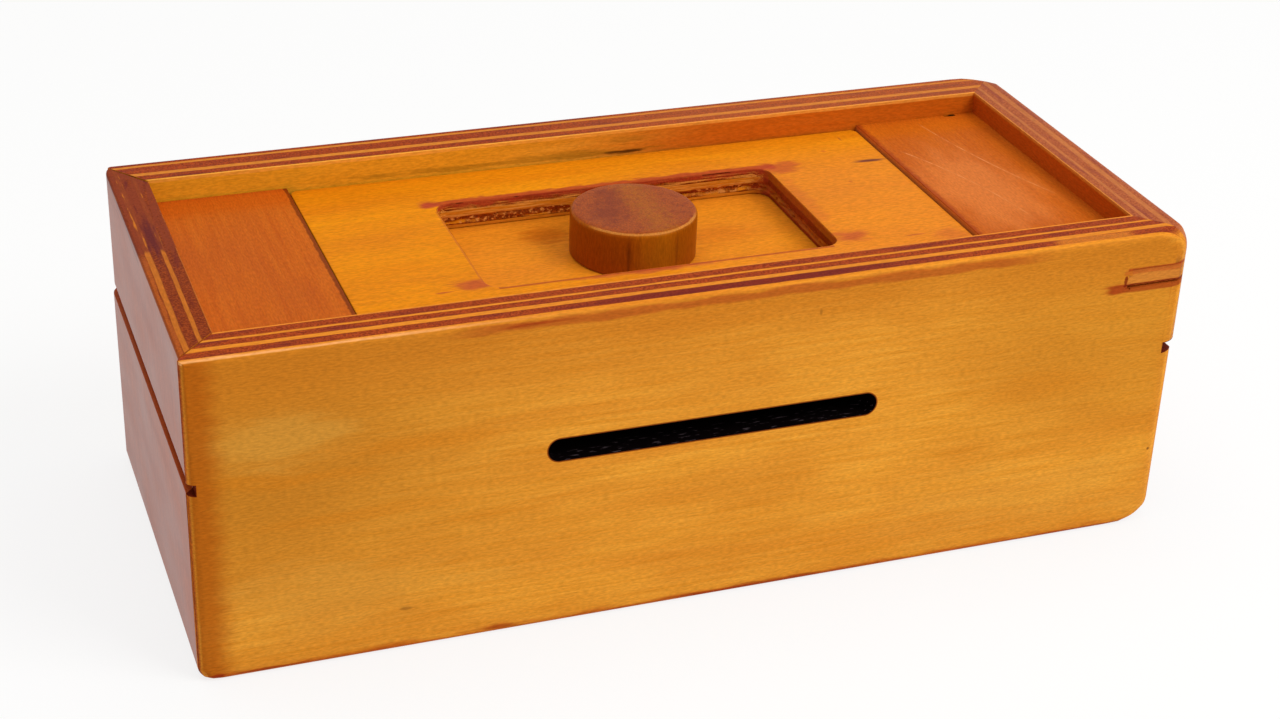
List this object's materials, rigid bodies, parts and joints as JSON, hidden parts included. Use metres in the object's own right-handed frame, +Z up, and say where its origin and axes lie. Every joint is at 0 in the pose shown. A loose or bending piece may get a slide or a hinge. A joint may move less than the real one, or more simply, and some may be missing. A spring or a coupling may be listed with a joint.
{
  "type": "wooden puzzle box",
  "caption": "Rectangular mitred plywood puzzle box with a money slot in the front, a recessed sliding lid and a round knob in a routed window that throws hidden side bolts.",
  "frame": {"origin": "middle of the underside, on the plane that the four walls stand on", "axes": "+X along the box to the right end, away from the way the lid slides out; -Y out of the slotted front wall; +Z up"},
  "size_m": [0.184, 0.081, 0.061],
  "materials": {
    "stained_plywood": "honey stain under satin lacquer, long grain on the faces and banded plies on the edges",
    "golden_plywood": "golden stain under satin lacquer, grain along the box",
    "orange_veneer": "orange stain under satin lacquer, grain across the box",
    "plain_plywood": "bare sanded plywood",
    "turned_dowel": "red-brown end grain and dark orange side under satin lacquer",
    "hardwood": "bare planed hardwood",
    "screw_steel": "zinc-plated steel"
  },
  "bodies": {
    "case": {"front_wall": "stained_plywood", "back_wall": "stained_plywood", "left_lower_end": "stained_plywood", "right_lower_end": "stained_plywood", "right_upper_end": "stained_plywood", "base_panel": "plain_plywood", "right_deck_panel": "orange_veneer", "right_cleat": "plain_plywood", "lid_stop_bar": "plain_plywood"},
    "lid": {"left_upper_end": "stained_plywood", "left_deck_panel": "orange_veneer", "centre_deck_panel": "golden_plywood", "lid_carrier": "plain_plywood", "front_runner": "plain_plywood", "back_runner": "plain_plywood", "left_filler": "plain_plywood", "right_filler": "plain_plywood", "carrier_screws": "screw_steel"},
    "slider": {"slider_board": "golden_plywood", "knob": "turned_dowel", "knob_screw": "screw_steel", "cam_pins": "screw_steel"},
    "front_bolt": {"front_bolt": "hardwood"},
    "back_bolt": {"back_bolt": "hardwood"}
  },
  "joints": [
    {"name": "lid_slide", "type": "slide", "parent": "case", "child": "lid", "axis": [-1, 0, 0], "range_m": [0, 0.11]},
    {"name": "knob_slide", "type": "slide", "parent": "lid", "child": "slider", "axis": [1, 0, 0], "range_m": [-0.011, 0.011]},
    {"name": "front_bolt_slide", "type": "slide", "parent": "lid", "child": "front_bolt", "axis": [0, -1, 0], "range_m": [-0.003, 0.003]},
    {"name": "back_bolt_slide", "type": "slide", "parent": "lid", "child": "back_bolt", "axis": [0, 1, 0], "range_m": [-0.003, 0.003]}
  ],
  "couplings": [
    {"joint": "front_bolt_slide", "follows": "knob_slide", "ratio": 0.27273},
    {"joint": "back_bolt_slide", "follows": "knob_slide", "ratio": 0.27273}
  ]
}
